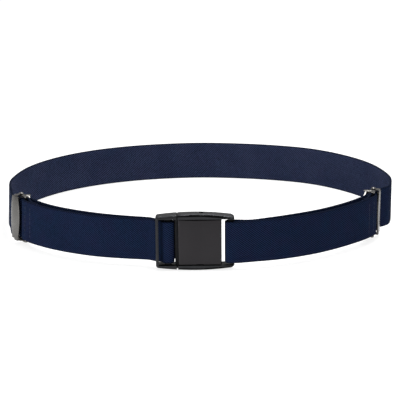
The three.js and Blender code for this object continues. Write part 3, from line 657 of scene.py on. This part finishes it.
def tree_of_solids(nodes):
    """All triangles of some CAD nodes, ready for looking along rays."""
    corners, faces = [], []
    for node in nodes:
        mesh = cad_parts[node].data
        faces += [tuple(len(corners) + v for v in face.vertices) for face in mesh.polygons]
        corners += [v.co.copy() for v in mesh.vertices]
    return BVHTree.FromPolygons(corners, faces)


def closed_share(solids, centre, normal):
    """The share of looks from a face, spread over its half of space, that meet metal."""
    turned = normal.to_track_quat("Z", "Y")
    met = 0
    for i in range(LOOKS):
        rise = math.sqrt(1 - (i + 0.5) / LOOKS)
        flat = math.sqrt(1 - rise * rise)
        turn = GOLDEN_TURN * i
        look = turned @ Vector((flat * math.cos(turn), flat * math.sin(turn), rise))
        hit = solids.ray_cast(centre + normal * LOOK_START, look, HOLLOW_REACH)[0]
        met += hit is not None
    return met / LOOKS


metal_nodes = [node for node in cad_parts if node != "strap"]
metal_solids = tree_of_solids(metal_nodes)
print("metal solids looked at:", len(metal_nodes))

# %% Round the edges of a metal piece
def rounded_piece(node, name, material, body, radius, angle=28):
    """A piece with the node's shape, rounded edges and smooth curves."""
    shape = joined_copy(node)
    bmesh.ops.dissolve_limit(
        shape, angle_limit=math.radians(1.0), verts=shape.verts, edges=shape.edges
    )
    mark = shape.faces.layers.float.new("edge")
    sharp = [
        e for e in shape.edges
        if len(e.link_faces) == 2 and e.calc_face_angle(0) > math.radians(angle)
    ]
    made = bmesh.ops.bevel(
        shape, geom=sharp, offset=radius, segments=2, profile=0.5,
        affect="EDGES", clamp_overlap=True,
    )
    for face in made["faces"]:
        face[mark] = 1.0
    shape.normal_update()
    # Mark for painted shade: how closed in each face is.
    occlusion = shape.faces.layers.float.new("occlusion")
    for face in shape.faces:
        face[occlusion] = closed_share(metal_solids, face.calc_center_median(), face.normal)
    mesh = bpy.data.meshes.new(name)
    bmesh.ops.triangulate(shape, faces=[f for f in shape.faces if len(f.verts) > 4])
    shape.to_mesh(mesh)
    shape.free()
    mesh.materials.append(material)
    mesh.shade_smooth()
    mesh.set_sharp_from_angle(angle=math.radians(38))
    piece = bpy.data.objects.new(name, mesh)
    bpy.context.scene.collection.objects.link(piece)
    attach(piece, body)
    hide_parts(node)
    print(name, "has", len(mesh.polygons), "faces,", len(sharp), "edges rounded")
    return piece


# %% Buckle
CAST_ROUND = 0.2 * MM
PLATE_ROUND = 0.15 * MM
rounded_piece("tongue_frame", "buckle_tongue_half", satin_black, "belt", CAST_ROUND)
rounded_piece("housing_frame", "buckle_pocket_half", satin_black, "belt", CAST_ROUND)
rounded_piece("face_plate", "buckle_face_plate", brushed_black, "belt", PLATE_ROUND)

# %% Adjusters
SHEET_ROUND = 0.12 * MM
RIVET_ROUND = 0.08 * MM
for side in ("left", "right"):
    rounded_piece(
        f"{side}_adjuster_frame", f"{side}_slide_frame", nickel, "belt", SHEET_ROUND
    )
    rounded_piece(
        f"{side}_adjuster_lever", f"{side}_slide_lever",
        nickel, f"{side}_lever", SHEET_ROUND,
    )
    for level in ("upper", "lower"):
        rounded_piece(
            f"{side}_adjuster_{level}_rivet", f"{side}_{level}_rivet_head",
            nickel, "belt", RIVET_ROUND,
        )

# %% [markdown]
# ## Floor and light
# The photograph was lit in a white tent: an even white ground, a wide soft light overhead
# that brightens the inside of the loop and the top of the buckle, and a weaker one from the
# left in front, low enough for the front band to shade the inside. A floor that glows by
# itself stays white under any lamp, and two large area lamps do the rest.
# The world is white to the camera and greyer to reflections, so that the nickel has
# something dark to reflect.

# %% Floor
bpy.ops.mesh.primitive_plane_add(size=8, location=(0, 0, -0.0002))
ground = bpy.context.object
ground.name = "ground"
paper, tree, shader = new_material(
    "white_paper", Roughness=0.9, Specular_IOR_Level=0.1,
    Emission_Color=(1, 1, 1, 1), Emission_Strength=0.8,
)
grain = use_group(tree, grain_group, Size=300.0, Contrast=0.2)["Grain"]
pale = mix_colour(tree, grain, (0.28, 0.28, 0.28, 1), (0.32, 0.32, 0.32, 1))
tree.links.new(pale, shader.inputs["Base Color"])
ground.data.materials.append(paper)

# %% Lamps and world
def soft_lamp(name, place, aim, width, depth, power):
    """A large area lamp that looks at a point."""
    lamp = bpy.data.lights.new(name, "AREA")
    lamp.shape = "RECTANGLE"
    lamp.size, lamp.size_y, lamp.energy = width, depth, power
    holder = bpy.data.objects.new(name, lamp)
    holder.location = place
    holder.rotation_euler = (Vector(aim) - Vector(place)).to_track_quat("-Z", "Y").to_euler()
    bpy.context.scene.collection.objects.link(holder)
    print(name, "at", place, "power", power, "W")


soft_lamp("overhead_lamp", (0.05, 0.0, 0.36), (0, 0, 0), 0.26, 0.2, 2.1)
soft_lamp("front_left_lamp", (-1.1, -0.75, 0.2), (0, 0, 0.02), 0.7, 0.35, 8.5)

world = bpy.data.worlds.new("studio")
world.use_nodes = True
bpy.context.scene.world = world
tree = world.node_tree
background = tree.nodes["Background"]
background.inputs["Color"].default_value = (1, 1, 1, 1)
seen = add_node(tree, "ShaderNodeLightPath").outputs["Is Camera Ray"]
direction = add_node(tree, "ShaderNodeTexCoord").outputs["Generated"]
up = add_node(tree, "ShaderNodeSeparateXYZ", Vector=direction).outputs["Z"]
room = spread(tree, up, -0.1, 0.9, 0.12, 0.95)
strength = math_node(tree, "MAXIMUM", room, math_node(tree, "MULTIPLY", seen, 1.1))
tree.links.new(strength, background.inputs["Strength"])
bpy.context.scene.view_settings.view_transform = "Standard"
